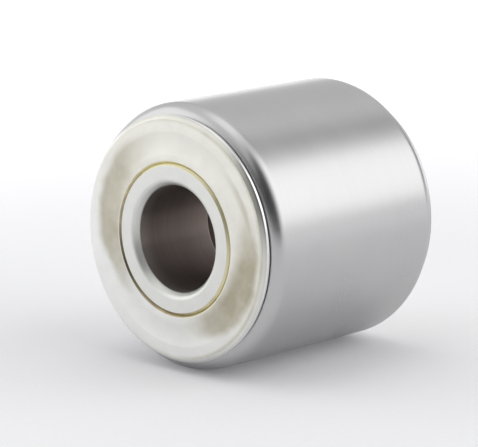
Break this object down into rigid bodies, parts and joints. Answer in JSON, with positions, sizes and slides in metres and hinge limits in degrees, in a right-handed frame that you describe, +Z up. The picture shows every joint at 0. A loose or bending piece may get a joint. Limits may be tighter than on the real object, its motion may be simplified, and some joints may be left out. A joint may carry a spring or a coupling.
{
  "type": "needle roller bearing",
  "caption": "Sealed yoke-type track roller: a thick outer ring with rounded corners turns on full-complement needles around a bored inner ring, closed by flat end washers.",
  "frame": {"origin": "middle of the bore, halfway between the two end faces", "axes": "+Y along the bore axis towards the rear end, the roller's turning axis; +Z up; the front end is at -Y"},
  "size_m": [0.0476, 0.0444, 0.0476],
  "materials": {
    "ground_steel": "ground and polished through-hardened steel",
    "plated_inner_ring": "matt plated steel",
    "plated_washer": "satin cream-white plated steel with a yellow passivated joint line",
    "seal_rubber": "black nitrile rubber",
    "guide_bronze": "turned bronze",
    "needle_steel": "lapped steel"
  },
  "bodies": {
    "inner": {"inner_ring": "plated_inner_ring", "front_end_washer": "plated_washer", "rear_end_washer": "plated_washer"},
    "outer": {"outer_ring": "ground_steel", "front_seal": "seal_rubber", "rear_seal": "seal_rubber"},
    "guide": {"guide_ring": "guide_bronze"},
    "front_needle_01": {"front_needle_01": "needle_steel"},
    "front_needle_02": {"front_needle_02": "needle_steel"},
    "front_needle_03": {"front_needle_03": "needle_steel"},
    "front_needle_04": {"front_needle_04": "needle_steel"},
    "front_needle_05": {"front_needle_05": "needle_steel"},
    "front_needle_06": {"front_needle_06": "needle_steel"},
    "front_needle_07": {"front_needle_07": "needle_steel"},
    "front_needle_08": {"front_needle_08": "needle_steel"},
    "front_needle_09": {"front_needle_09": "needle_steel"},
    "front_needle_10": {"front_needle_10": "needle_steel"},
    "front_needle_11": {"front_needle_11": "needle_steel"},
    "front_needle_12": {"front_needle_12": "needle_steel"},
    "front_needle_13": {"front_needle_13": "needle_steel"},
    "front_needle_14": {"front_needle_14": "needle_steel"},
    "front_needle_15": {"front_needle_15": "needle_steel"},
    "front_needle_16": {"front_needle_16": "needle_steel"},
    "front_needle_17": {"front_needle_17": "needle_steel"},
    "front_needle_18": {"front_needle_18": "needle_steel"},
    "front_needle_19": {"front_needle_19": "needle_steel"},
    "front_needle_20": {"front_needle_20": "needle_steel"},
    "front_needle_21": {"front_needle_21": "needle_steel"},
    "front_needle_22": {"front_needle_22": "needle_steel"},
    "front_needle_23": {"front_needle_23": "needle_steel"},
    "front_needle_24": {"front_needle_24": "needle_steel"},
    "front_needle_25": {"front_needle_25": "needle_steel"},
    "rear_needle_01": {"rear_needle_01": "needle_steel"},
    "rear_needle_02": {"rear_needle_02": "needle_steel"},
    "rear_needle_03": {"rear_needle_03": "needle_steel"},
    "rear_needle_04": {"rear_needle_04": "needle_steel"},
    "rear_needle_05": {"rear_needle_05": "needle_steel"},
    "rear_needle_06": {"rear_needle_06": "needle_steel"},
    "rear_needle_07": {"rear_needle_07": "needle_steel"},
    "rear_needle_08": {"rear_needle_08": "needle_steel"},
    "rear_needle_09": {"rear_needle_09": "needle_steel"},
    "rear_needle_10": {"rear_needle_10": "needle_steel"},
    "rear_needle_11": {"rear_needle_11": "needle_steel"},
    "rear_needle_12": {"rear_needle_12": "needle_steel"},
    "rear_needle_13": {"rear_needle_13": "needle_steel"},
    "rear_needle_14": {"rear_needle_14": "needle_steel"},
    "rear_needle_15": {"rear_needle_15": "needle_steel"},
    "rear_needle_16": {"rear_needle_16": "needle_steel"},
    "rear_needle_17": {"rear_needle_17": "needle_steel"},
    "rear_needle_18": {"rear_needle_18": "needle_steel"},
    "rear_needle_19": {"rear_needle_19": "needle_steel"},
    "rear_needle_20": {"rear_needle_20": "needle_steel"},
    "rear_needle_21": {"rear_needle_21": "needle_steel"},
    "rear_needle_22": {"rear_needle_22": "needle_steel"},
    "rear_needle_23": {"rear_needle_23": "needle_steel"},
    "rear_needle_24": {"rear_needle_24": "needle_steel"},
    "rear_needle_25": {"rear_needle_25": "needle_steel"}
  },
  "joints": [
    {"name": "outer_spin", "type": "hinge", "parent": "inner", "child": "outer", "pos_m": [0, 0, 0], "axis": [0, 1, 0], "continuous": true},
    {"name": "guide_orbit", "type": "hinge", "parent": "inner", "child": "guide", "pos_m": [0, 0, 0], "axis": [0, 1, 0], "continuous": true},
    {"name": "front_needle_01_spin", "type": "hinge", "parent": "guide", "child": "front_needle_01", "pos_m": [0.01589, -0.00989, 0], "axis": [0, 1, 0], "continuous": true},
    {"name": "front_needle_02_spin", "type": "hinge", "parent": "guide", "child": "front_needle_02", "pos_m": [0.01539, -0.00989, 0.00395], "axis": [0, 1, 0], "continuous": true},
    {"name": "front_needle_03_spin", "type": "hinge", "parent": "guide", "child": "front_needle_03", "pos_m": [0.01393, -0.00989, 0.00766], "axis": [0, 1, 0], "continuous": true},
    {"name": "front_needle_04_spin", "type": "hinge", "parent": "guide", "child": "front_needle_04", "pos_m": [0.01159, -0.00989, 0.01088], "axis": [0, 1, 0], "continuous": true},
    {"name": "front_needle_05_spin", "type": "hinge", "parent": "guide", "child": "front_needle_05", "pos_m": [0.00852, -0.00989, 0.01342], "axis": [0, 1, 0], "continuous": true},
    {"name": "front_needle_06_spin", "type": "hinge", "parent": "guide", "child": "front_needle_06", "pos_m": [0.00491, -0.00989, 0.01512], "axis": [0, 1, 0], "continuous": true},
    {"name": "front_needle_07_spin", "type": "hinge", "parent": "guide", "child": "front_needle_07", "pos_m": [0.001, -0.00989, 0.01586], "axis": [0, 1, 0], "continuous": true},
    {"name": "front_needle_08_spin", "type": "hinge", "parent": "guide", "child": "front_needle_08", "pos_m": [-0.00298, -0.00989, 0.01561], "axis": [0, 1, 0], "continuous": true},
    {"name": "front_needle_09_spin", "type": "hinge", "parent": "guide", "child": "front_needle_09", "pos_m": [-0.00677, -0.00989, 0.01438], "axis": [0, 1, 0], "continuous": true},
    {"name": "front_needle_10_spin", "type": "hinge", "parent": "guide", "child": "front_needle_10", "pos_m": [-0.01013, -0.00989, 0.01225], "axis": [0, 1, 0], "continuous": true},
    {"name": "front_needle_11_spin", "type": "hinge", "parent": "guide", "child": "front_needle_11", "pos_m": [-0.01286, -0.00989, 0.00934], "axis": [0, 1, 0], "continuous": true},
    {"name": "front_needle_12_spin", "type": "hinge", "parent": "guide", "child": "front_needle_12", "pos_m": [-0.01478, -0.00989, 0.00585], "axis": [0, 1, 0], "continuous": true},
    {"name": "front_needle_13_spin", "type": "hinge", "parent": "guide", "child": "front_needle_13", "pos_m": [-0.01577, -0.00989, 0.00199], "axis": [0, 1, 0], "continuous": true},
    {"name": "front_needle_14_spin", "type": "hinge", "parent": "guide", "child": "front_needle_14", "pos_m": [-0.01577, -0.00989, -0.00199], "axis": [0, 1, 0], "continuous": true},
    {"name": "front_needle_15_spin", "type": "hinge", "parent": "guide", "child": "front_needle_15", "pos_m": [-0.01478, -0.00989, -0.00585], "axis": [0, 1, 0], "continuous": true},
    {"name": "front_needle_16_spin", "type": "hinge", "parent": "guide", "child": "front_needle_16", "pos_m": [-0.01286, -0.00989, -0.00934], "axis": [0, 1, 0], "continuous": true},
    {"name": "front_needle_17_spin", "type": "hinge", "parent": "guide", "child": "front_needle_17", "pos_m": [-0.01013, -0.00989, -0.01225], "axis": [0, 1, 0], "continuous": true},
    {"name": "front_needle_18_spin", "type": "hinge", "parent": "guide", "child": "front_needle_18", "pos_m": [-0.00677, -0.00989, -0.01438], "axis": [0, 1, 0], "continuous": true},
    {"name": "front_needle_19_spin", "type": "hinge", "parent": "guide", "child": "front_needle_19", "pos_m": [-0.00298, -0.00989, -0.01561], "axis": [0, 1, 0], "continuous": true},
    {"name": "front_needle_20_spin", "type": "hinge", "parent": "guide", "child": "front_needle_20", "pos_m": [0.001, -0.00989, -0.01586], "axis": [0, 1, 0], "continuous": true},
    {"name": "front_needle_21_spin", "type": "hinge", "parent": "guide", "child": "front_needle_21", "pos_m": [0.00491, -0.00989, -0.01512], "axis": [0, 1, 0], "continuous": true},
    {"name": "front_needle_22_spin", "type": "hinge", "parent": "guide", "child": "front_needle_22", "pos_m": [0.00852, -0.00989, -0.01342], "axis": [0, 1, 0], "continuous": true},
    {"name": "front_needle_23_spin", "type": "hinge", "parent": "guide", "child": "front_needle_23", "pos_m": [0.01159, -0.00989, -0.01088], "axis": [0, 1, 0], "continuous": true},
    {"name": "front_needle_24_spin", "type": "hinge", "parent": "guide", "child": "front_needle_24", "pos_m": [0.01393, -0.00989, -0.00766], "axis": [0, 1, 0], "continuous": true},
    {"name": "front_needle_25_spin", "type": "hinge", "parent": "guide", "child": "front_needle_25", "pos_m": [0.01539, -0.00989, -0.00395], "axis": [0, 1, 0], "continuous": true},
    {"name": "rear_needle_01_spin", "type": "hinge", "parent": "guide", "child": "rear_needle_01", "pos_m": [0.01577, 0.00989, 0.00199], "axis": [0, 1, 0], "continuous": true},
    {"name": "rear_needle_02_spin", "type": "hinge", "parent": "guide", "child": "rear_needle_02", "pos_m": [0.01478, 0.00989, 0.00585], "axis": [0, 1, 0], "continuous": true},
    {"name": "rear_needle_03_spin", "type": "hinge", "parent": "guide", "child": "rear_needle_03", "pos_m": [0.01286, 0.00989, 0.00934], "axis": [0, 1, 0], "continuous": true},
    {"name": "rear_needle_04_spin", "type": "hinge", "parent": "guide", "child": "rear_needle_04", "pos_m": [0.01013, 0.00989, 0.01225], "axis": [0, 1, 0], "continuous": true},
    {"name": "rear_needle_05_spin", "type": "hinge", "parent": "guide", "child": "rear_needle_05", "pos_m": [0.00677, 0.00989, 0.01438], "axis": [0, 1, 0], "continuous": true},
    {"name": "rear_needle_06_spin", "type": "hinge", "parent": "guide", "child": "rear_needle_06", "pos_m": [0.00298, 0.00989, 0.01561], "axis": [0, 1, 0], "continuous": true},
    {"name": "rear_needle_07_spin", "type": "hinge", "parent": "guide", "child": "rear_needle_07", "pos_m": [-0.001, 0.00989, 0.01586], "axis": [0, 1, 0], "continuous": true},
    {"name": "rear_needle_08_spin", "type": "hinge", "parent": "guide", "child": "rear_needle_08", "pos_m": [-0.00491, 0.00989, 0.01512], "axis": [0, 1, 0], "continuous": true},
    {"name": "rear_needle_09_spin", "type": "hinge", "parent": "guide", "child": "rear_needle_09", "pos_m": [-0.00852, 0.00989, 0.01342], "axis": [0, 1, 0], "continuous": true},
    {"name": "rear_needle_10_spin", "type": "hinge", "parent": "guide", "child": "rear_needle_10", "pos_m": [-0.01159, 0.00989, 0.01088], "axis": [0, 1, 0], "continuous": true},
    {"name": "rear_needle_11_spin", "type": "hinge", "parent": "guide", "child": "rear_needle_11", "pos_m": [-0.01393, 0.00989, 0.00766], "axis": [0, 1, 0], "continuous": true},
    {"name": "rear_needle_12_spin", "type": "hinge", "parent": "guide", "child": "rear_needle_12", "pos_m": [-0.01539, 0.00989, 0.00395], "axis": [0, 1, 0], "continuous": true},
    {"name": "rear_needle_13_spin", "type": "hinge", "parent": "guide", "child": "rear_needle_13", "pos_m": [-0.01589, 0.00989, 0], "axis": [0, 1, 0], "continuous": true},
    {"name": "rear_needle_14_spin", "type": "hinge", "parent": "guide", "child": "rear_needle_14", "pos_m": [-0.01539, 0.00989, -0.00395], "axis": [0, 1, 0], "continuous": true},
    {"name": "rear_needle_15_spin", "type": "hinge", "parent": "guide", "child": "rear_needle_15", "pos_m": [-0.01393, 0.00989, -0.00766], "axis": [0, 1, 0], "continuous": true},
    {"name": "rear_needle_16_spin", "type": "hinge", "parent": "guide", "child": "rear_needle_16", "pos_m": [-0.01159, 0.00989, -0.01088], "axis": [0, 1, 0], "continuous": true},
    {"name": "rear_needle_17_spin", "type": "hinge", "parent": "guide", "child": "rear_needle_17", "pos_m": [-0.00852, 0.00989, -0.01342], "axis": [0, 1, 0], "continuous": true},
    {"name": "rear_needle_18_spin", "type": "hinge", "parent": "guide", "child": "rear_needle_18", "pos_m": [-0.00491, 0.00989, -0.01512], "axis": [0, 1, 0], "continuous": true},
    {"name": "rear_needle_19_spin", "type": "hinge", "parent": "guide", "child": "rear_needle_19", "pos_m": [-0.001, 0.00989, -0.01586], "axis": [0, 1, 0], "continuous": true},
    {"name": "rear_needle_20_spin", "type": "hinge", "parent": "guide", "child": "rear_needle_20", "pos_m": [0.00298, 0.00989, -0.01561], "axis": [0, 1, 0], "continuous": true},
    {"name": "rear_needle_21_spin", "type": "hinge", "parent": "guide", "child": "rear_needle_21", "pos_m": [0.00677, 0.00989, -0.01438], "axis": [0, 1, 0], "continuous": true},
    {"name": "rear_needle_22_spin", "type": "hinge", "parent": "guide", "child": "rear_needle_22", "pos_m": [0.01013, 0.00989, -0.01225], "axis": [0, 1, 0], "continuous": true},
    {"name": "rear_needle_23_spin", "type": "hinge", "parent": "guide", "child": "rear_needle_23", "pos_m": [0.01286, 0.00989, -0.00934], "axis": [0, 1, 0], "continuous": true},
    {"name": "rear_needle_24_spin", "type": "hinge", "parent": "guide", "child": "rear_needle_24", "pos_m": [0.01478, 0.00989, -0.00585], "axis": [0, 1, 0], "continuous": true},
    {"name": "rear_needle_25_spin", "type": "hinge", "parent": "guide", "child": "rear_needle_25", "pos_m": [0.01577, 0.00989, -0.00199], "axis": [0, 1, 0], "continuous": true}
  ],
  "couplings": [
    {"joint": "guide_orbit", "follows": "outer_spin", "ratio": 0.56243},
    {"joint": "front_needle_01_spin", "follows": "outer_spin", "ratio": 3.942},
    {"joint": "front_needle_02_spin", "follows": "outer_spin", "ratio": 3.942},
    {"joint": "front_needle_03_spin", "follows": "outer_spin", "ratio": 3.942},
    {"joint": "front_needle_04_spin", "follows": "outer_spin", "ratio": 3.942},
    {"joint": "front_needle_05_spin", "follows": "outer_spin", "ratio": 3.942},
    {"joint": "front_needle_06_spin", "follows": "outer_spin", "ratio": 3.942},
    {"joint": "front_needle_07_spin", "follows": "outer_spin", "ratio": 3.942},
    {"joint": "front_needle_08_spin", "follows": "outer_spin", "ratio": 3.942},
    {"joint": "front_needle_09_spin", "follows": "outer_spin", "ratio": 3.942},
    {"joint": "front_needle_10_spin", "follows": "outer_spin", "ratio": 3.942},
    {"joint": "front_needle_11_spin", "follows": "outer_spin", "ratio": 3.942},
    {"joint": "front_needle_12_spin", "follows": "outer_spin", "ratio": 3.942},
    {"joint": "front_needle_13_spin", "follows": "outer_spin", "ratio": 3.942},
    {"joint": "front_needle_14_spin", "follows": "outer_spin", "ratio": 3.942},
    {"joint": "front_needle_15_spin", "follows": "outer_spin", "ratio": 3.942},
    {"joint": "front_needle_16_spin", "follows": "outer_spin", "ratio": 3.942},
    {"joint": "front_needle_17_spin", "follows": "outer_spin", "ratio": 3.942},
    {"joint": "front_needle_18_spin", "follows": "outer_spin", "ratio": 3.942},
    {"joint": "front_needle_19_spin", "follows": "outer_spin", "ratio": 3.942},
    {"joint": "front_needle_20_spin", "follows": "outer_spin", "ratio": 3.942},
    {"joint": "front_needle_21_spin", "follows": "outer_spin", "ratio": 3.942},
    {"joint": "front_needle_22_spin", "follows": "outer_spin", "ratio": 3.942},
    {"joint": "front_needle_23_spin", "follows": "outer_spin", "ratio": 3.942},
    {"joint": "front_needle_24_spin", "follows": "outer_spin", "ratio": 3.942},
    {"joint": "front_needle_25_spin", "follows": "outer_spin", "ratio": 3.942},
    {"joint": "rear_needle_01_spin", "follows": "outer_spin", "ratio": 3.942},
    {"joint": "rear_needle_02_spin", "follows": "outer_spin", "ratio": 3.942},
    {"joint": "rear_needle_03_spin", "follows": "outer_spin", "ratio": 3.942},
    {"joint": "rear_needle_04_spin", "follows": "outer_spin", "ratio": 3.942},
    {"joint": "rear_needle_05_spin", "follows": "outer_spin", "ratio": 3.942},
    {"joint": "rear_needle_06_spin", "follows": "outer_spin", "ratio": 3.942},
    {"joint": "rear_needle_07_spin", "follows": "outer_spin", "ratio": 3.942},
    {"joint": "rear_needle_08_spin", "follows": "outer_spin", "ratio": 3.942},
    {"joint": "rear_needle_09_spin", "follows": "outer_spin", "ratio": 3.942},
    {"joint": "rear_needle_10_spin", "follows": "outer_spin", "ratio": 3.942},
    {"joint": "rear_needle_11_spin", "follows": "outer_spin", "ratio": 3.942},
    {"joint": "rear_needle_12_spin", "follows": "outer_spin", "ratio": 3.942},
    {"joint": "rear_needle_13_spin", "follows": "outer_spin", "ratio": 3.942},
    {"joint": "rear_needle_14_spin", "follows": "outer_spin", "ratio": 3.942},
    {"joint": "rear_needle_15_spin", "follows": "outer_spin", "ratio": 3.942},
    {"joint": "rear_needle_16_spin", "follows": "outer_spin", "ratio": 3.942},
    {"joint": "rear_needle_17_spin", "follows": "outer_spin", "ratio": 3.942},
    {"joint": "rear_needle_18_spin", "follows": "outer_spin", "ratio": 3.942},
    {"joint": "rear_needle_19_spin", "follows": "outer_spin", "ratio": 3.942},
    {"joint": "rear_needle_20_spin", "follows": "outer_spin", "ratio": 3.942},
    {"joint": "rear_needle_21_spin", "follows": "outer_spin", "ratio": 3.942},
    {"joint": "rear_needle_22_spin", "follows": "outer_spin", "ratio": 3.942},
    {"joint": "rear_needle_23_spin", "follows": "outer_spin", "ratio": 3.942},
    {"joint": "rear_needle_24_spin", "follows": "outer_spin", "ratio": 3.942},
    {"joint": "rear_needle_25_spin", "follows": "outer_spin", "ratio": 3.942}
  ]
}
